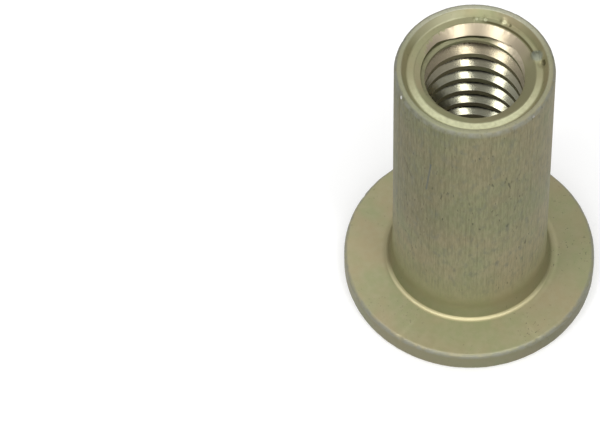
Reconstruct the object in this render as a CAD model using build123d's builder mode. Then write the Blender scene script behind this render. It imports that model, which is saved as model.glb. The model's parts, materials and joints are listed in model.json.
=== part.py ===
from build123d import *
from math import radians, tan
import os

# Blind rivet nut: one cold-formed steel piece with a flange, a smooth round body and an open,
# threaded far end. It stands on its flange, with the axis along +Z and the origin at the centre
# of the flange's lower face. All sizes are in millimetres.

# Thread of the far end, 5/16-18 UNC. The hole stands at its drilled size, without the groove.
thread_diameter = 7.94
threads_per_inch = 18
thread_length = 10.3

# Body and flange
thread_wall = 1.28
flange_overhang = 3.3
flange_thickness = 1.6
overall_length = 23.3

# Foot of the body, which widens a little before it meets the flange
foot_flare = 0.31
foot_flare_length = 1.0

# Bore on the head side: a mouth as deep as the flange, then the thin wall that folds up
mouth_depth = 1.35
mouth_step = 0.22
mouth_taper_length = 0.35
crumple_clearance = 0.12
shoulder_angle = 45

# End face: a raised lip round a sunken ring, then a wide countersink that leads into the thread
lip_width = 0.45
lip_slope_width = 0.35
ring_depth = 0.47
countersink_depth = 0.43

# Edge radii
lip_edge_radius = 0.32
flange_upper_radius = 0.28
flange_lower_radius = 0.25
flange_root_radius = 0.25
foot_blend_radius = 2.0
mouth_edge_radius = 0.12

# Radii that follow, from the thread outwards
inch = 25.4
thread_pitch = inch / threads_per_inch
thread_radius = thread_diameter / 2
drilled_radius = (thread_diameter - thread_pitch) / 2
crumple_radius = thread_radius + crumple_clearance
mouth_radius = crumple_radius + mouth_step
body_radius = thread_radius + thread_wall
foot_radius = body_radius + foot_flare
flange_radius = body_radius + flange_overhang
lip_radius = body_radius - lip_width
ring_radius = lip_radius - lip_slope_width

# Heights that follow, from the flange upwards and from the end face downwards
foot_top = flange_thickness + foot_flare_length
ring_height = overall_length - ring_depth
thread_top = ring_height - countersink_depth
thread_foot = thread_top - thread_length
crumple_top = thread_foot - (crumple_radius - drilled_radius) / tan(radians(shoulder_angle))
crumple_foot = mouth_depth + mouth_taper_length


def circle_edge(part, radius, height):
    """The round edge of this radius at this height."""
    ring = part.edges().filter_by(GeomType.CIRCLE)
    level = ring.filter_by_position(Axis.Z, height, height)
    return level.sort_by(lambda edge: abs(edge.radius - radius))[0]


with BuildPart() as rivet_nut:
    # Half section from the flange's lower face, up the outside and back down the bore
    with BuildSketch(Plane.XZ):
        with BuildLine():
            Polyline(
                (mouth_radius, 0),
                (flange_radius, 0),
                (flange_radius, flange_thickness),
                (foot_radius, flange_thickness),
                (body_radius, foot_top),
                (body_radius, overall_length),
                (lip_radius, overall_length),
                (ring_radius, ring_height),
                (thread_radius, ring_height),
                (drilled_radius, thread_top),
                (drilled_radius, thread_foot),
                (crumple_radius, crumple_top),
                (crumple_radius, crumple_foot),
                (mouth_radius, mouth_depth),
                close=True,
            )
        make_face()
    revolve(axis=Axis.Z)

    fillet(circle_edge(rivet_nut, body_radius, overall_length), lip_edge_radius)
    fillet(circle_edge(rivet_nut, body_radius, foot_top), foot_blend_radius)
    fillet(circle_edge(rivet_nut, foot_radius, flange_thickness), flange_root_radius)
    fillet(circle_edge(rivet_nut, flange_radius, flange_thickness), flange_upper_radius)
    fillet(circle_edge(rivet_nut, flange_radius, 0), flange_lower_radius)
    fillet(circle_edge(rivet_nut, mouth_radius, 0), mouth_edge_radius)

rivet_nut.part.label = "rivet_nut"

os.makedirs("parts", exist_ok=True)
export_step(rivet_nut.part, "parts/rivet_nut.step")
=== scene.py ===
import json
from math import cos, radians, sin, tan

import bpy
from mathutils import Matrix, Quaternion, Vector


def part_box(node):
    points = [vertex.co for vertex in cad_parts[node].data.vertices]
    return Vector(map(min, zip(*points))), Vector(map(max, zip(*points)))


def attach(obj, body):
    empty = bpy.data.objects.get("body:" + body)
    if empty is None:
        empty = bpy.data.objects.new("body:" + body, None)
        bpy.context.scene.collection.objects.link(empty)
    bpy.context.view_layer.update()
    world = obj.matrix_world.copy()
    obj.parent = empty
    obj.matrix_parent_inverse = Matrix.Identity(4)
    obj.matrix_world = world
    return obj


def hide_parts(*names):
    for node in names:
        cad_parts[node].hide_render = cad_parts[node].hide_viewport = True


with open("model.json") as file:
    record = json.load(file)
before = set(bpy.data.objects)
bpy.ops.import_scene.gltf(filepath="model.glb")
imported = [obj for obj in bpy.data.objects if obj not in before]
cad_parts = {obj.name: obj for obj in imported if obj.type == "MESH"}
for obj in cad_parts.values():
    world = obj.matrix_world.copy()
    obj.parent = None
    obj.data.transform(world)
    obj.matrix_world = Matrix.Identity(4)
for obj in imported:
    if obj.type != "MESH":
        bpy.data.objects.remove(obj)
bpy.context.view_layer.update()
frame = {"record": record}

MM = 0.001

# A rivet nut that stands on its flange, its threaded end up. Its solid has a plain bore. This scene
# makes the same piece with the thread cut in it, worn edges and the finish of plated steel.


# Sizes, in metres

mounts = {mount["name"]: mount for mount in frame["record"]["mounts"]}


def wall_of(name):
    """Radius, lowest and highest point of a round wall that the record states."""
    mount = mounts[name]
    middle = mount["pos_m"][2]
    half_length = mount["dims"]["length_mm"] * MM / 2
    return mount["dims"]["r_mm"] * MM, middle - half_length, middle + half_length


drilled_radius, thread_foot, thread_top = wall_of("thread")
crumple_radius, crumple_foot, crumple_top = wall_of("crumple_bore")
mouth_radius, _, mouth_top = wall_of("bore_mouth")
body_radius = mounts["body"]["dims"]["r_mm"] * MM
flange_thickness = mounts["flange_seat"]["pos_m"][2]
flange_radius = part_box("rivet_nut")[1].x
end_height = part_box("rivet_nut")[1].z

# Flared foot of the body, and the lip and sunken ring of the end face
foot_flare = 0.31 * MM
foot_flare_length = 1.0 * MM
lip_width = 0.45 * MM
lip_slope_width = 0.35 * MM
ring_depth = 0.47 * MM
foot_radius = body_radius + foot_flare
foot_top = flange_thickness + foot_flare_length
lip_radius = body_radius - lip_width
ring_radius = lip_radius - lip_slope_width
ring_height = end_height - ring_depth

# Thread form: flanks at 60 degrees to each other, and a narrow flat at the root
inch = 25.4 * MM
threads_per_inch = 18
thread_pitch = inch / threads_per_inch
thread_radius = drilled_radius + thread_pitch / 2
flank_angle = radians(30)
root_flat = thread_pitch / 8

# The groove starts on the nut's right, below the thread's foot. It climbs right-handed, is on the
# right again after each whole turn, and runs out in the countersink
whole_turns = 8
height_after_whole_turns = 21.897 * MM
part_turn = 240 / 360
groove_turns = whole_turns + part_turn
groove_foot = height_after_whole_turns - whole_turns * thread_pitch
groove_headroom = 0.07 * MM


# How nodes are put together

MATH = "ShaderNodeMath"
VECTOR_MATH = "ShaderNodeVectorMath"


def add_node(tree, kind, *inputs, named=None, output=0, **settings):
    """Adds a node with its settings and gives one of its outputs.

    Inputs come in their order, or in named by their name or number. An input is a value, or a
    socket to link.
    """
    node = tree.nodes.new(kind)
    for name, value in settings.items():
        setattr(node, name, value)
    for place, value in [*enumerate(inputs), *(named or {}).items()]:
        if isinstance(value, bpy.types.NodeSocket):
            tree.links.new(value, node.inputs[place])
        else:
            node.inputs[place].default_value = value
    return node.outputs[output]


def product(tree, *parts):
    """The parts multiplied. A part is a number, a socket, or a smooth step in a measure.

    A step is the measure, where the step starts and where it ends, and then the two values that
    it goes between, if they aren't 0 and 1.
    """
    whole = None
    for part in parts:
        if isinstance(part, tuple):
            part = add_node(tree, "ShaderNodeMapRange", *part, interpolation_type="SMOOTHSTEP")
        whole = part if whole is None else add_node(tree, MATH, whole, part, operation="MULTIPLY")
    return whole


class Place:
    """Where a point of the nut lies, measured about the nut's axis."""

    def __init__(self, tree, position):
        self.tree = tree
        self.position = position
        self.flat = add_node(tree, VECTOR_MATH, position, (1, 1, 0), operation="MULTIPLY")
        self.radius = add_node(tree, VECTOR_MATH, self.flat, operation="LENGTH", output="Value")
        self.height = add_node(tree, "ShaderNodeSeparateXYZ", position, output=2)

    def facing(self, angle):
        """1 on the side of the nut at this angle in degrees, and -1 on the far side."""
        along = add_node(self.tree, VECTOR_MATH, self.flat, on_nut(angle, 1, 0),
                         operation="DOT_PRODUCT", output="Value")
        return add_node(self.tree, MATH, along, self.radius, operation="DIVIDE")

    def distance_from(self, point):
        """Distance from one point."""
        return add_node(self.tree, VECTOR_MATH, self.position, point,
                        operation="DISTANCE", output="Value")

    def grain(self, size, seed, stretch=1.0, detail=3.0):
        """Noise from 0 to 1 with lumps of this size, drawn out along the axis."""
        pressed = add_node(self.tree, VECTOR_MATH, self.position, (1, 1, 1 / stretch),
                           operation="MULTIPLY")
        return add_node(self.tree, "ShaderNodeTexNoise", noise_dimensions="4D", named={
            "Vector": pressed, "W": seed, "Scale": 1 / size, "Detail": detail})


def on_nut(angle, radius, height):
    """The point at this angle in degrees, radius and height."""
    return radius * cos(radians(angle)), radius * sin(radians(angle)), height


# The shape trees

def new_shape_tree(name, sizes):
    """An empty geometry tree with a named input for each size."""
    tree = bpy.data.node_groups.new(name, "GeometryNodeTree")
    tree.interface.new_socket(name="Geometry", in_out="INPUT", socket_type="NodeSocketGeometry")
    for size in sizes:
        tree.interface.new_socket(name=size, in_out="INPUT", socket_type="NodeSocketFloat")
    tree.interface.new_socket(name="Geometry", in_out="OUTPUT", socket_type="NodeSocketGeometry")
    return tree, tree.nodes.new("NodeGroupInput").outputs


def finish_shape_tree(tree, shape, material):
    """Makes real geometry in its material the tree's result."""
    real = add_node(tree, "GeometryNodeRealizeInstances", shape)
    painted = add_node(tree, "GeometryNodeSetMaterial", named={
        "Geometry": real, "Material": material})
    tree.links.new(painted, tree.nodes.new("NodeGroupOutput").inputs[0])
    return tree


def swept_section(tree, outline, rail, rail_radius, arc_steps):
    """Rounds the corners of a closed (radius, height) outline and sweeps it along a round rail."""
    rounding = add_node(tree, "GeometryNodeInputNamedAttribute", "rounding", data_type="FLOAT")
    curve = add_node(tree, "GeometryNodeMeshToCurve", outline)
    rounded = add_node(tree, "GeometryNodeFilletCurve", mode="POLY", named={
        "Curve": curve, "Count": arc_steps, "Radius": rounding, "Limit Radius": True})
    to_axis = add_node(tree, "ShaderNodeCombineXYZ", product(tree, rail_radius, -1.0))
    placed = add_node(tree, "GeometryNodeTransform", named={
        "Geometry": rounded, "Scale": (1, -1, 1), "Translation": to_axis})
    upright = add_node(tree, "GeometryNodeSetCurveNormal", rail, mode="Z_UP")
    return add_node(tree, "GeometryNodeCurveToMesh", named={
        "Curve": upright, "Profile Curve": placed, "Fill Caps": True})


def moved_along_normal(tree, shape, distance):
    """The shape with its points moved out along their normals."""
    normal = add_node(tree, "GeometryNodeInputNormal")
    offset = add_node(tree, VECTOR_MATH, operation="SCALE", named={0: normal, "Scale": distance})
    return add_node(tree, "GeometryNodeSetPosition", named={"Geometry": shape, "Offset": offset})


# Angle, radius, height, size and depth of the nicks and, where the depth is below zero, of the
# burrs, in degrees and millimetres
NICKS = [
    (20, 4.25, 22.83, 0.60, -0.16),
    (11, 4.45, 22.83, 0.40, 0.14),
    (24, 4.40, 22.83, 0.30, 0.08),
    (155, 5.20, 23.20, 0.25, 0.07),
    (204, 5.22, 23.12, 0.22, 0.06),
    (-43, 5.24, 23.05, 0.20, 0.05),
    (92, 4.27, 22.83, 0.14, -0.16),
    (83, 4.32, 22.83, 0.14, -0.16),
    (67, 4.46, 22.85, 0.28, -0.18),
    (61, 4.36, 22.83, 0.20, 0.06),
    (305, 8.50, 1.55, 0.30, 0.05),
    (238, 8.52, 1.50, 0.35, 0.05),
    (150, 8.50, 1.50, 0.30, 0.05),
]


def revolve_tree(material):
    """The outline turned once round the nut's axis, with its worn edges, nicks and burrs."""
    tree, sizes = new_shape_tree("turned_steel", ["Rail Radius"])
    rail = add_node(tree, "GeometryNodeCurvePrimitiveCircle", mode="RADIUS", named={
        "Resolution": 576, "Radius": sizes["Rail Radius"]})
    shape = swept_section(tree, sizes["Geometry"], rail, sizes["Rail Radius"], arc_steps=6)
    shape = add_node(tree, "GeometryNodeFlipFaces", shape)

    spot = Place(tree, add_node(tree, "GeometryNodeInputPosition"))
    end_face = product(tree, (spot.height, thread_top - 0.2 * MM, thread_top + 0.2 * MM),
                       (spot.radius, thread_radius - 0.17 * MM, thread_radius - 0.02 * MM))
    flange_rim = product(tree, (spot.radius, flange_radius - 0.4 * MM, flange_radius - 0.2 * MM))
    worn = add_node(tree, MATH, end_face, flange_rim, operation="MAXIMUM")
    swings = []
    for lumps, seed, swing in ((0.9 * MM, 1.0, 0.05 * MM), (0.22 * MM, 2.0, 0.03 * MM)):
        centred = add_node(tree, MATH, spot.grain(lumps, seed, detail=2.0), 0.5,
                           operation="SUBTRACT")
        swings.append(product(tree, centred, swing))
    uneven = add_node(tree, MATH, *swings, operation="ADD")
    shape = moved_along_normal(tree, shape, product(tree, worn, uneven))
    for angle, radius, height, size, depth in NICKS:
        distance = spot.distance_from(on_nut(angle, radius * MM, height * MM))
        shape = moved_along_normal(tree, shape, product(
            tree, (distance, 0.0, size * MM, -depth * MM, 0.0)))
    return finish_shape_tree(tree, shape, material)


def helix_tree(material):
    """The outline of one thread groove swept up a right-hand helix to where it runs out.

    The groove has its full depth up to its last half turn. From there its root is shallow, deepens
    a little and fades out. Its flanks rise on the way. Its top stays under the countersink's brim
    and breaks through it near the end.
    """
    tree, sizes = new_shape_tree("tapped_groove", [
        "Rail Radius", "Pitch", "Turns", "Foot", "Brim"])
    rail = add_node(tree, "GeometryNodeCurveSpiral", named={
        "Resolution": 144, "Rotations": sizes["Turns"], "Start Radius": sizes["Rail Radius"],
        "End Radius": sizes["Rail Radius"], "Reverse": True,
        "Height": product(tree, sizes["Pitch"], sizes["Turns"])})
    position = add_node(tree, "GeometryNodeInputPosition")
    climbed = add_node(tree, "ShaderNodeSeparateXYZ", position, output=2)
    rail = add_node(tree, "GeometryNodeStoreNamedAttribute", data_type="FLOAT", named={
        "Geometry": rail, "Name": "turn",
        "Value": add_node(tree, MATH, climbed, sizes["Pitch"], operation="DIVIDE")})
    groove = swept_section(tree, sizes["Geometry"], rail, sizes["Rail Radius"], arc_steps=3)

    # Smooth steps over the turns that are still to go. The brim is out of reach up to the last
    # half turn
    turn = add_node(tree, "GeometryNodeInputNamedAttribute", "turn", data_type="FLOAT")
    to_go = add_node(tree, MATH, sizes["Turns"], turn, operation="SUBTRACT")
    root_turns_shallow = (to_go, 0.43, 0.53, 0.14 * MM, 0.8 * MM)
    root_deepens = (to_go, 0.4, 0.27, 0.0, 0.13 * MM)
    root_fades_out = (to_go, 0.0, 0.1)
    upper_flank_rises = (to_go, 2.0, 1.6, 0.0, 0.26 * MM)
    upper_flank_returns = (to_go, 0.8, 1.1)
    lower_flank_rises = (to_go, 1.0, 0.65, 0.0, 0.1 * MM)
    brim_out_of_reach = (to_go, 0.47, 0.65, 0.0, 0.5 * MM)
    brim_broken_through = (to_go, 0.4, 0.24, 0.0, 0.3 * MM)

    # Points that lie deeper than the root may be there are pulled towards the axis
    spot = Place(tree, position)
    depth = add_node(tree, MATH, product(tree, root_turns_shallow), product(tree, root_deepens),
                     operation="ADD")
    depth = product(tree, depth, root_fades_out)
    reach = add_node(tree, MATH, sizes["Rail Radius"], depth, operation="ADD")
    share = add_node(tree, MATH, reach, spot.radius, operation="DIVIDE")
    share = add_node(tree, MATH, share, 1.0, operation="MINIMUM")
    pull = add_node(tree, MATH, share, 1.0, operation="SUBTRACT")
    inwards = add_node(tree, VECTOR_MATH, operation="SCALE", named={0: spot.flat, "Scale": pull})

    # The flanks rise, and nothing goes above the brim
    middle = product(tree, turn, sizes["Pitch"])
    above = add_node(tree, MATH, spot.height, middle, operation="SUBTRACT")
    upper = product(tree, (above, -0.05 * MM, 0.05 * MM), upper_flank_rises, upper_flank_returns)
    lower = product(tree, (above, 0.05 * MM, -0.05 * MM), lower_flank_rises)
    risen = add_node(tree, MATH, upper, lower, operation="ADD")
    risen = add_node(tree, MATH, spot.height, risen, operation="ADD")
    brim = add_node(tree, MATH, sizes["Brim"], sizes["Foot"], operation="SUBTRACT")
    for step in (brim_out_of_reach, brim_broken_through):
        brim = add_node(tree, MATH, brim, product(tree, step), operation="ADD")
    risen = add_node(tree, MATH, risen, brim, operation="MINIMUM")
    rise = add_node(tree, MATH, risen, spot.height, operation="SUBTRACT")
    upwards = add_node(tree, "ShaderNodeCombineXYZ", named={"Z": rise})

    groove = add_node(tree, "GeometryNodeSetPosition", named={
        "Geometry": groove,
        "Offset": add_node(tree, VECTOR_MATH, inwards, upwards, operation="ADD")})
    placed = add_node(tree, "GeometryNodeTransform", named={
        "Geometry": groove,
        "Translation": add_node(tree, "ShaderNodeCombineXYZ", named={"Z": sizes["Foot"]})})
    return finish_shape_tree(tree, placed, material)


# The outlines that the trees turn and sweep

def outline_object(name, corners):
    """A closed outline in the plane of radius and height. A corner is radius, height, rounding."""
    mesh = bpy.data.meshes.new(name)
    count = len(corners)
    mesh.from_pydata([(radius, height, 0) for radius, height, _ in corners],
                     [(i, (i + 1) % count) for i in range(count)], [])
    rounding = mesh.attributes.new("rounding", "FLOAT", "POINT")
    for point, (_, _, radius) in zip(rounding.data, corners):
        point.value = radius
    outline = bpy.data.objects.new(name, mesh)
    bpy.context.scene.collection.objects.link(outline)
    return outline


def with_modifiers_applied(piece):
    """The piece as a plain mesh."""
    evaluated = piece.evaluated_get(bpy.context.evaluated_depsgraph_get())
    mesh = bpy.data.meshes.new_from_object(evaluated)
    piece.modifiers.clear()
    piece.data = mesh
    return piece


def shaped_by(outline, tree, sizes):
    """The solid that the tree makes of an outline."""
    modifier = outline.modifiers.new(tree.name, "NODES")
    modifier.node_group = tree
    for item in tree.interface.items_tree:
        if item.name in sizes:
            modifier[item.identifier] = sizes[item.name]
    return with_modifiers_applied(outline)


def between(start, end, count):
    """Plain points that part the straight line between two corners."""
    return [(start[0] + (end[0] - start[0]) * i / (count + 1),
             start[1] + (end[1] - start[1]) * i / (count + 1), 0) for i in range(1, count + 1)]


def turned_steel(material):
    """The nut without its thread: flange, body, end face and bore."""
    lip_inside = (lip_radius, end_height, 0.08 * MM)
    slope_foot = (ring_radius, ring_height, 0.12 * MM)
    ring_inside = (thread_radius, ring_height, 0.04 * MM)
    cone_foot = (drilled_radius, thread_top, 0.03 * MM)
    corners = [
        (mouth_radius, 0, 0.12 * MM),
        (flange_radius, 0, 0.25 * MM),
        (flange_radius, flange_thickness, 0.28 * MM),
        (foot_radius, flange_thickness, 0.25 * MM),
        (body_radius, foot_top, 2 * MM),
        (body_radius, end_height, 0.32 * MM),
        lip_inside,
        *between(lip_inside, slope_foot, 3),
        slope_foot,
        *between(slope_foot, ring_inside, 3),
        ring_inside,
        *between(ring_inside, cone_foot, 2),
        cone_foot,
        (drilled_radius, thread_foot, 0.1 * MM),
        (crumple_radius, crumple_top, 0.3 * MM),
        (crumple_radius, crumple_foot, 0.2 * MM),
        (mouth_radius, mouth_top, 0.05 * MM),
    ]

    # The outline is placed from the axis, so the rail's own radius leaves the shape as it is
    rail_radius = 1 * MM
    return shaped_by(outline_object("rivet_nut_steel", corners), revolve_tree(material),
                     {"Rail Radius": rail_radius})


def tapped_groove(material):
    """The steel that the tap takes out, from below the thread's foot to its run-out at the top."""
    root_half = root_flat / 2
    crest_half = root_half + (thread_radius - drilled_radius) * tan(flank_angle)

    # In the open bore the outline widens, so that it cuts the crests cleanly
    inner_radius = drilled_radius - 0.35 * MM
    flare = 0.12 * MM
    crest_rounding = 0.03 * MM
    root_rounding = 0.05 * MM
    upper_crest = (drilled_radius, crest_half, crest_rounding)
    upper_root = (thread_radius, root_half, root_rounding)
    lower_root = (thread_radius, -root_half, root_rounding)
    lower_crest = (drilled_radius, -crest_half, crest_rounding)
    corners = [
        (inner_radius, -crest_half - flare, 0),
        (inner_radius, crest_half + flare, 0),
        upper_crest,
        *between(upper_crest, upper_root, 8),
        upper_root,
        lower_root,
        *between(lower_root, lower_crest, 8),
        lower_crest,
    ]
    return shaped_by(outline_object("groove", corners), helix_tree(material), {
        "Rail Radius": drilled_radius, "Pitch": thread_pitch, "Turns": groove_turns,
        "Foot": groove_foot, "Brim": thread_top - groove_headroom})


# Materials

def linear(code):
    """An sRGB hex colour as the linear values that a shader takes."""
    channels = [int(code[i:i + 2], 16) / 255 for i in (1, 3, 5)]
    return [c / 12.92 if c <= 0.04045 else ((c + 0.055) / 1.055) ** 2.4 for c in channels] + [1]


def new_material(name):
    """A material with its tree and its surface shader."""
    material = bpy.data.materials.new(name)
    material.use_nodes = True
    tree = material.node_tree
    return material, tree, tree.nodes["Principled BSDF"]


def layered(tree, colour, *layers):
    """A colour with others laid over it in turn. A layer is its share and its colour.

    A share is a number, a socket or a smooth step. A colour is a hex code or a socket.
    """
    colour = linear(colour) if isinstance(colour, str) else colour
    for share, tint in layers:
        tint = linear(tint) if isinstance(tint, str) else tint
        colour = add_node(tree, "ShaderNodeMix", data_type="RGBA", output=2, named={
            0: product(tree, share), 6: colour, 7: tint})
    return colour


def wall_finish(spot, colour):
    """The drawn wall: darker, with fine upright streaks, grey bruises, short dark pits and painted
    shade on its left side up high.

    Gives the colour, and where the wall, its streaks and the pits are.
    """
    tree = spot.tree
    wall = product(tree, (spot.height, foot_top, foot_top + 2 * MM),
                   (spot.radius, body_radius - 0.27 * MM, body_radius - 0.1 * MM))
    streaks = product(tree, (spot.grain(0.11 * MM, 5.0, stretch=6.0), 0.3, 0.7))
    long_lines = (spot.grain(0.13 * MM, 7.0, stretch=60.0, detail=2.0), 0.5, 0.75, 0.0, 0.16)
    # Painted shade: the wall darker on its left side, up high
    left_painted_shade = product(tree, (spot.height, 6 * MM, 11 * MM, 0.2, 1.0),
                        (spot.facing(205), 0.3, 1.0, 0.0, 0.14))
    dark = product(tree, (spot.height, 6 * MM, 14 * MM, 0.34, 0.48))
    for shade in (product(tree, streaks, 0.2), product(tree, long_lines), left_painted_shade):
        dark = add_node(tree, MATH, dark, shade, operation="ADD")
    bruises = (spot.grain(0.4 * MM, 6.0, stretch=2.0, detail=5.0), 0.5, 0.72, 0.0, 0.5)

    # Pits lie in patches, and are fainter off the wall
    off_wall = product(tree, add_node(tree, MATH, 1.0, wall, operation="SUBTRACT"),
                       (spot.facing(-15), 0.4, 0.9, 0.25, 0.6))
    pitted = add_node(tree, MATH, off_wall, product(tree, wall, 0.6), operation="ADD")
    pits = product(tree, pitted,
                   (spot.grain(0.18 * MM, 11.0, stretch=3.5, detail=1.0), 0.65, 0.73),
                   (spot.grain(3.0 * MM, 12.0, detail=1.0), 0.42, 0.6, 0.15, 1.0))
    colour = layered(tree, colour, (product(tree, wall, dark), "#5b5a42"),
                     (product(tree, wall, bruises), "#6b6d60"), (pits, "#3f3e34"))
    return colour, wall, product(tree, streaks, wall), pits


def foot_finish(spot, colour):
    """The foot of the wall: warmer and painted lighter towards the flange as light, painted shade
    round its corner and at its sides, and a painted highlight in the corner's front, which is
    burnished.

    Gives the colour, and where it is burnished.
    """
    tree = spot.tree
    sideways = add_node(tree, MATH, spot.facing(0), operation="ABSOLUTE")
    outside = product(tree, (spot.radius, body_radius - 0.3 * MM, body_radius - 0.2 * MM),
                      (spot.height, flange_thickness - 0.4 * MM, flange_thickness - 0.2 * MM))
    # Painted light: the wall lighter towards its foot
    foot = product(tree, (spot.height, foot_top + 4.5 * MM, foot_top + 0.5 * MM, 0.0, 0.3),
                   (spot.height, foot_top - 0.5 * MM, foot_top))
    # Painted shade round the corner where the wall meets the flange, wider at the sides
    corner = product(tree, (spot.radius, foot_radius + 0.16 * MM, foot_radius + 0.1 * MM))
    side_painted_shade = product(tree, (spot.radius, foot_radius + 0.5 * MM, foot_radius + 0.1 * MM),
                   (sideways, 0.7, 1.0, 0.0, 0.7))
    corner = product(tree, add_node(tree, MATH, corner, side_painted_shade, operation="MAXIMUM"), outside,
                     (spot.height, foot_top + 1.9 * MM, foot_top - 0.4 * MM),
                     (sideways, 0.2, 0.9, 0.42, 0.5))
    # Painted highlight along the front of the corner's rounding, where the steel is also burnished
    root = product(tree, outside, (spot.facing(-95), 0.2, 0.75),
                   (spot.height, foot_top - 0.8 * MM, foot_top - 0.88 * MM),
                   (spot.radius, foot_radius + 0.26 * MM, foot_radius + 0.16 * MM))
    colour = layered(tree, colour, (foot, "#aaa27a"), (corner, "#615f3c"), (root, "#d4cca4"))
    return colour, root


def end_face_finish(spot, colour):
    """The end face: a ring pressed by the forming punch with a painted highlight in front, a
    countersink painted darker to the right, the lip's slope painted lighter behind and darker
    beside, a speckled lip painted lighter behind, and painted shade on the crests and along the
    countersink's far right edge.
    """
    tree = spot.tree
    sideways = add_node(tree, MATH, spot.facing(0), operation="ABSOLUTE")
    ring = product(tree, (spot.radius, ring_radius + 0.17 * MM, ring_radius - 0.05 * MM),
                   (spot.height, ring_height - 0.06 * MM, ring_height - 0.02 * MM))
    # Painted highlight on the front of the ring
    ring_painted_highlight = product(tree, ring, (spot.facing(-90), -0.1, 0.95),
                          (spot.grain(0.3 * MM, 9.0), 0.35, 0.7, 1.0, 0.72))
    # Painted shade: the countersink darker towards the right
    countersink_painted_shade = product(tree, (spot.radius, thread_radius + 0.08 * MM, thread_radius + 0.01 * MM),
                   (spot.height, thread_top - 0.3 * MM, thread_top),
                   (spot.facing(20), -0.6, 0.9, 0.3, 1.0))
    slope = product(tree, (spot.height, end_height - 0.02 * MM, end_height - 0.1 * MM),
                    (spot.radius, ring_radius - 0.11 * MM, ring_radius - 0.01 * MM),
                    (spot.radius, lip_radius + 0.02 * MM, lip_radius - 0.04 * MM))
    # Painted light on the lip's slope behind, where it faces the front lamp, and painted shade on
    # it at the sides
    slope_painted_light_behind = product(tree, slope, (spot.facing(128), 0.85, 0.97, 0.0, 0.6))
    slope_painted_shade_beside = product(tree, slope, (sideways, 0.45, 0.9, 0.05, 0.42))
    lip = product(tree, (spot.height, end_height - 0.06 * MM, end_height - 0.01 * MM, 0.0, 0.65))
    # The lip's own grey-green, with a painted highlight where it lies behind
    lip_tone_and_painted_highlight = layered(tree, "#8e9078", ((spot.facing(90), 0.2, 0.9), "#babcaa"))
    specks = product(tree, lip, (spot.grain(0.16 * MM, 10.0), 0.5, 0.75, 0.0, 0.45))
    # Painted shade on the crests of the thread
    crests = product(tree, (spot.radius, drilled_radius + 0.05 * MM, drilled_radius + 0.02 * MM),
                     (spot.height, thread_top - 0.1 * MM, thread_top - 0.3 * MM), 0.2)

    # Brown painted shadow along the countersink's upper edge, on the far right
    edge_painted_shadow = product(tree, (spot.radius, thread_radius + 0.03 * MM, thread_radius + 0.07 * MM),
                        (spot.radius, thread_radius + 0.27 * MM, thread_radius + 0.17 * MM),
                        (spot.height, ring_height - 0.1 * MM, ring_height - 0.03 * MM),
                        (spot.facing(52), 0.8, 0.9, 0.0, 0.85))
    return layered(tree, colour, (product(tree, ring, 0.5), "#8a8a6a"), (ring_painted_highlight, "#d9dab3"),
                   (countersink_painted_shade, "#868364"), (slope_painted_light_behind, "#d2d1b0"), (slope_painted_shade_beside, "#6f6b47"),
                   (lip, lip_tone_and_painted_highlight), (specks, "#6d6d5c"), (crests, "#5a563c"),
                   (edge_painted_shadow, "#4c4528"))


# Angle in degrees; radius, height and size in millimetres; strength and colour of the scars: burrs
# with painted glints and a torn flake behind, a grey bruise on the right with its painted shadow,
# and chips at the edge
SCARS_AND_PAINTED_LIGHT = [
    # Painted glints on the burrs behind
    (90, 4.27, 22.83, 0.13, 0.55, "#e3e4c2"),
    (82, 4.27, 22.83, 0.15, 0.50, "#dfe2bc"),
    (86, 4.30, 22.83, 0.16, 0.25, "#d8d8b4"),
    (66, 4.46, 22.85, 0.20, 0.75, "#e6e4bc"),
    (60, 4.40, 22.84, 0.12, 0.60, "#5e5a3c"),
    (20, 4.28, 22.83, 0.48, 0.65, "#7d847a"),
    # Painted shadow on the outer side of the grey bruise
    (12, 4.55, 22.86, 0.24, 0.80, "#4f4a33"),
    (206, 5.20, 23.06, 0.14, 1.00, "#f6f6f2"),
    (155, 5.16, 23.22, 0.16, 0.80, "#55544a"),
    (-42, 5.22, 23.10, 0.11, 0.50, "#c0c0c6"),
]

# Angle and height of both ends, width, strength and colour of the hairline scratches on the wall
SCRATCHES = [
    (239.5, 18.7, 236.0, 15.6, 0.09, 0.55, "#545c60"),
    (212.0, 17.0, 221.0, 15.7, 0.07, 0.60, "#463f30"),
]


def distance_from_line(spot, start, end):
    """Distance from the straight line between two points."""
    tree = spot.tree
    run = Vector(end) - Vector(start)
    away = add_node(tree, VECTOR_MATH, spot.position, start, operation="SUBTRACT")
    share = add_node(tree, VECTOR_MATH, away, run / run.length_squared,
                     operation="DOT_PRODUCT", output="Value")
    share = add_node(tree, MATH, share, 1.0, operation="MINIMUM")
    share = add_node(tree, MATH, share, 0.0, operation="MAXIMUM")
    along = add_node(tree, VECTOR_MATH, operation="SCALE", named={0: run, "Scale": share})
    return add_node(tree, VECTOR_MATH, away, along, operation="DISTANCE", output="Value")


def scarred(spot, colour):
    """The colour with the scars, the painted glints and shadow among them, and the scratches on it.
    """
    tree = spot.tree
    ragged = spot.grain(0.25 * MM, 40.0)
    for angle, radius, height, size, strength, tint in SCARS_AND_PAINTED_LIGHT:
        distance = add_node(tree, MATH, spot.distance_from(on_nut(angle, radius * MM, height * MM)),
                            product(tree, ragged, 0.5 * size * MM), operation="ADD")
        colour = layered(tree, colour, (
            (distance, 1.3 * size * MM, 0.9 * size * MM, 0.0, strength), tint))
    for from_angle, from_height, to_angle, to_height, width, strength, tint in SCRATCHES:
        distance = distance_from_line(spot, on_nut(from_angle, body_radius, from_height * MM),
                                      on_nut(to_angle, body_radius, to_height * MM))
        colour = layered(tree, colour, (
            (distance, width * MM, 0.3 * width * MM, 0.0, strength), tint))
    return colour


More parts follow.
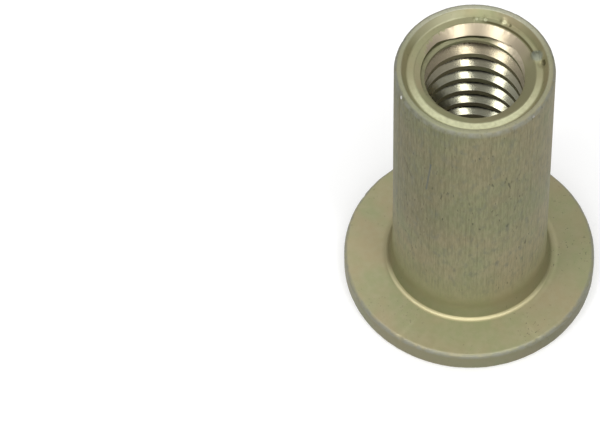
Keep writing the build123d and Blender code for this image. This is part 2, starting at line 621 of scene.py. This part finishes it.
def worn_edges(spot, colour):
    """The flange's side painted darker as shade, more so on the right, and edges worn to grey zinc.
    """
    tree = spot.tree
    # Painted shade on the flange's side, darker still on the right
    side = product(tree, (spot.radius, flange_radius - 0.1 * MM, flange_radius, 0.0, 0.7))
    right_painted_shade = product(tree, side, (spot.facing(-10), 0.3, 0.95, 0.0, 0.4))
    end_rim = product(tree, (spot.height, end_height - 0.45 * MM, end_height - 0.1 * MM),
                      (spot.radius, body_radius - 0.25 * MM, body_radius - 0.13 * MM))
    flange_rim = product(tree, (spot.radius, flange_radius - 0.28 * MM, flange_radius - 0.1 * MM),
                         (spot.height, flange_thickness - 0.4 * MM, flange_thickness - 0.15 * MM))
    worn = product(tree, add_node(tree, MATH, end_rim, flange_rim, operation="MAXIMUM"),
                   (spot.grain(0.45 * MM, 14.0), 0.3, 0.65, 0.2, 0.8))
    return layered(tree, colour, (side, "#6c6b55"), (right_painted_shade, "#45442f"), (worn, "#8f9085"))


def bare_cone(spot):
    """Where the countersink cut through the plating: a band with a torn edge, widest behind.

    It reaches from the bore out to a limit that grows towards the back.
    """
    tree = spot.tree
    around = add_node(tree, VECTOR_MATH, operation="SCALE", named={
        0: spot.flat, "Scale": add_node(tree, MATH, 1.0, spot.radius, operation="DIVIDE")})
    teeth = add_node(tree, "ShaderNodeTexNoise", named={
        "Vector": around, "Scale": 28.0, "Detail": 4.0})
    behind = spot.facing(63)
    narrowest = drilled_radius - 0.234 * MM
    limit = narrowest
    for width in ((behind, -0.3, 0.3, 0.0, 0.3 * MM), (behind, 0.42, 0.78, 0.0, 0.5 * MM)):
        limit = add_node(tree, MATH, limit, product(tree, width), operation="ADD")
    torn = product(tree, teeth, (spot.facing(130), 0.8, 0.98, 0.35 * MM, 1.1 * MM))
    limit = add_node(tree, MATH, limit, torn, operation="ADD")
    return product(
        tree, add_node(tree, MATH, spot.radius, limit, operation="LESS_THAN"),
        add_node(tree, MATH, spot.height, thread_top - 0.01 * MM, operation="GREATER_THAN"),
        add_node(tree, MATH, spot.height, ring_height - 0.015 * MM, operation="LESS_THAN"),
        (spot.facing(110), -0.25, 0.5))


def yellow_chromate_plating():
    """Satin olive zinc plating: green and pink bloom, a drawn wall, grey worn edges, bare cuts, and
    painted light and shade in places.
    """
    material, tree, surface = new_material("yellow_chromate_zinc_plated_steel")
    spot = Place(tree, add_node(tree, "ShaderNodeTexCoord", output="Object"))

    # Bloom: broad green and pink tints, and a finer mottle
    colour = layered(tree, "#a3a57e",
                     ((spot.grain(3.2 * MM, 3.0, detail=2.0), 0.38, 0.62), "#aea381"),
                     ((spot.grain(0.5 * MM, 8.0), 0.35, 0.7, 0.0, 0.5), "#b1aa8a"))
    colour, wall, streaks, pits = wall_finish(spot, colour)
    colour, root = foot_finish(spot, colour)
    colour = end_face_finish(spot, colour)
    # Painted shade on the flange towards the back right
    flange_painted_shade = product(tree, (spot.radius, foot_radius + 0.34 * MM, foot_radius + 0.64 * MM),
                          (spot.facing(35), -0.3, 0.9, 0.0, 0.3))
    colour = layered(tree, colour, (flange_painted_shade, "#6f6c4e"))
    colour = worn_edges(spot, scarred(spot, colour))
    bare = bare_cone(spot)
    colour = layered(tree, colour, (bare, "#aea28b"))
    tree.links.new(colour, surface.inputs["Base Color"])

    # Satin where it is plated, and a little duller on the wall
    satin_roughness = 0.38
    bare_roughness = 0.32
    plated_metal = 0.45
    plated = add_node(tree, MATH, 1.0, bare, operation="SUBTRACT")
    satin = add_node(tree, MATH, satin_roughness,
                     product(tree, spot.grain(0.6 * MM, 17.0), 0.14), operation="ADD")
    rough = add_node(tree, MATH, product(tree, satin, plated),
                     product(tree, bare, bare_roughness), operation="ADD")
    dull = product(tree, add_node(tree, MATH, wall, root, operation="MAXIMUM"), 0.1)
    rough = add_node(tree, MATH, rough, dull, operation="ADD")
    tree.links.new(rough, surface.inputs["Roughness"])

    # Steel shows as metal where it is bare or burnished, and only in part through the plating,
    # whose film has little gloss of its own
    metal = add_node(tree, MATH, plated_metal, product(tree, wall, 0.1), operation="SUBTRACT")
    for share in (bare, root):
        metal = add_node(tree, MATH, metal, share, operation="MAXIMUM")
    tree.links.new(metal, surface.inputs["Metallic"])
    surface.inputs["Specular IOR Level"].default_value = 0.12

    # Fine relief: the plating's skin, the wall's streaks, and the pits, all smoother where bare
    relief_depth = 0.006 * MM
    relief = add_node(tree, MATH, product(tree, spot.grain(0.12 * MM, 20.0), 0.35),
                      product(tree, streaks, 0.5), operation="ADD")
    relief = add_node(tree, MATH, relief, product(tree, pits, plated), operation="SUBTRACT")
    smoothed = add_node(tree, MATH, 1.0, product(tree, bare, 0.85), operation="SUBTRACT")
    raised = add_node(tree, "ShaderNodeBump", named={
        "Height": product(tree, relief, smoothed), "Distance": relief_depth, "Strength": 1.0})
    tree.links.new(raised, surface.inputs["Normal"])
    return material


def bare_steel():
    """Shiny cut steel of the thread, a little pink near the mouth and silver further down, with the
    first turn painted lighter as light and painted shade on its right.
    """
    material, tree, surface = new_material("bare_tapped_steel")
    spot = Place(tree, add_node(tree, "ShaderNodeTexCoord", output="Object"))
    deep = (spot.height, thread_top - 0.9 * MM, thread_top - 4.9 * MM)
    first_turn = (spot.height, thread_top - 1.2 * MM, thread_top - 1.0 * MM)
    run_out = product(tree, (spot.height, thread_top - 0.7 * MM, thread_top - 0.6 * MM),
                      (spot.facing(150), 0.0, 0.3))
    run_out_colour = layered(tree, "#77755a", ((spot.facing(180), 0.2, 0.7), "#a5a482"))
    # Painted shade on the right of the first turn
    right = product(tree, first_turn, (spot.facing(-40), 0.25, 0.85, 0.0, 0.9))
    scuffs = (spot.grain(0.25 * MM, 31.0, stretch=4.0), 0.45, 0.75, 0.0, 0.5)
    # The first turn is painted lighter, as light
    colour = layered(tree, "#978c75", (deep, "#8f8e7c"), (first_turn, "#bdb29a"),
                     (run_out, run_out_colour), (right, "#7f7c60"), (scuffs, "#857f69"))
    tree.links.new(colour, surface.inputs["Base Color"])
    surface.inputs["Metallic"].default_value = 1

    rough = product(tree, (spot.height, thread_top - 3.4 * MM, thread_top - 1.1 * MM, 0.12, 0.24))
    dull = product(tree, add_node(tree, MATH, run_out, right, operation="MAXIMUM"), 0.2)
    for more in (dull, product(tree, spot.grain(0.3 * MM, 33.0), 0.1)):
        rough = add_node(tree, MATH, rough, more, operation="ADD")
    tree.links.new(rough, surface.inputs["Roughness"])
    relief_depth = 0.003 * MM
    raised = add_node(tree, "ShaderNodeBump", named={
        "Height": spot.grain(0.15 * MM, 36.0, stretch=3.0), "Distance": relief_depth,
        "Strength": 1.0})
    tree.links.new(raised, surface.inputs["Normal"])
    return material


# The nut, which takes the place of its plain solid

nut = turned_steel(yellow_chromate_plating())
groove = tapped_groove(bare_steel())
cut = nut.modifiers.new("thread", "BOOLEAN")
cut.operation = "DIFFERENCE"
cut.solver = "EXACT"
cut.material_mode = "TRANSFER"
cut.object = groove
with_modifiers_applied(nut)
bpy.data.objects.remove(groove)
nut.data.shade_smooth()
nut.data.set_sharp_from_angle(angle=radians(35))

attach(nut, "root")
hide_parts("rivet_nut")


# Floor, light and camera

def plain_floor():
    """White card. It looks white where it is lit, and keeps the nut's shadow."""
    half = 0.6
    low = -0.02 * MM
    mesh = bpy.data.meshes.new("floor")
    mesh.from_pydata([(-half, -half, low), (half, -half, low), (half, half, low),
                      (-half, half, low)], [], [(0, 1, 2, 3)])
    floor = bpy.data.objects.new("floor", mesh)
    bpy.context.scene.collection.objects.link(floor)
    material, tree, surface = new_material("white_card")
    surface.inputs["Base Color"].default_value = linear("#dcdcdc")
    surface.inputs["Roughness"].default_value = 0.9
    glow = 0.36
    seen = tree.nodes.new("ShaderNodeLightPath").outputs
    shown = seen["Is Camera Ray"]
    for ray in ("Is Glossy Ray", "Is Transmission Ray"):
        shown = add_node(tree, MATH, shown, seen[ray], operation="MAXIMUM")
    tree.links.new(product(tree, shown, glow), surface.inputs["Emission Strength"])
    surface.inputs["Emission Color"].default_value = (1, 1, 1, 1)
    mesh.materials.append(material)


def soft_box(name, direction, distance, width, height, power):
    """A rectangular lamp that faces the nut's thread from this direction."""
    lamp = bpy.data.lights.new(name, "AREA")
    lamp.shape = "RECTANGLE"
    lamp.size = width
    lamp.size_y = height
    lamp.energy = power
    box = bpy.data.objects.new(name, lamp)
    direction = Vector(direction).normalized()
    box.location = Vector((0, 0, end_height)) + direction * distance
    box.rotation_euler = direction.to_track_quat("Z", "Y").to_euler()
    bpy.context.scene.collection.objects.link(box)


def studio_world():
    """A white room, brighter overhead, and dim at the sides and where the camera's hood stands."""
    hood_elevation = radians(60)
    hood_edge = radians(40)
    hood_middle = radians(12)
    world = bpy.data.worlds.new("white_room")
    world.use_nodes = True
    tree = world.node_tree
    direction = add_node(tree, "ShaderNodeTexCoord", output="Generated")
    up = add_node(tree, "ShaderNodeSeparateXYZ", direction, output=2)
    across = add_node(tree, "ShaderNodeSeparateXYZ", direction)
    sideways = add_node(tree, MATH, across, operation="ABSOLUTE")
    hood = (0, -cos(hood_elevation), sin(hood_elevation))
    nearness = add_node(tree, VECTOR_MATH, direction, hood, operation="DOT_PRODUCT", output="Value")
    strength = product(tree, (up, 0.0, 0.8, 0.5, 0.85),
                       (nearness, cos(hood_edge), cos(hood_middle), 1.0, 0.68),
                       (sideways, 0.5, 0.95, 1.0, 0.52))
    background = tree.nodes["Background"]
    tree.links.new(strength, background.inputs["Strength"])
    background.inputs["Color"].default_value = (1, 1, 1, 1)
    bpy.context.scene.world = world


def long_lens_camera():
    """A long lens that looks down on the nut from in front, with the nut right of the middle."""
    elevation = radians(56.24)
    roll = radians(-1.217)
    distance = 327.5 * MM
    aim_left = 11.27 * MM
    aim_forward = 4.29 * MM
    lens = bpy.data.cameras.new("camera")
    lens.lens = 294.5
    lens.sensor_width = 36
    lens.clip_start = 0.01
    camera = bpy.data.objects.new("camera", lens)
    middle = Vector((0, 0, end_height / 2))
    aim = middle - Vector((aim_left, aim_forward, 0))
    camera.location = middle + distance * Vector((0, -cos(elevation), sin(elevation)))
    look = (aim - camera.location).to_track_quat("-Z", "Y")
    camera.rotation_euler = (look @ Quaternion((0, 0, 1), roll)).to_euler()
    bpy.context.scene.collection.objects.link(camera)
    bpy.context.scene.camera = camera


plain_floor()
studio_world()
soft_box("left_soft_box", direction=(-0.36, -0.335, 0.858), distance=0.4, width=0.075,
         height=0.2, power=0.35)
soft_box("right_soft_box", direction=(0.3, -0.372, 0.88), distance=0.4, width=0.055,
         height=0.2, power=0.33)
soft_box("front_soft_box", direction=(0, -0.9, 0.43), distance=0.5, width=0.3,
         height=0.2, power=0.6)
long_lens_camera()
bpy.context.scene.view_settings.view_transform = "Standard"
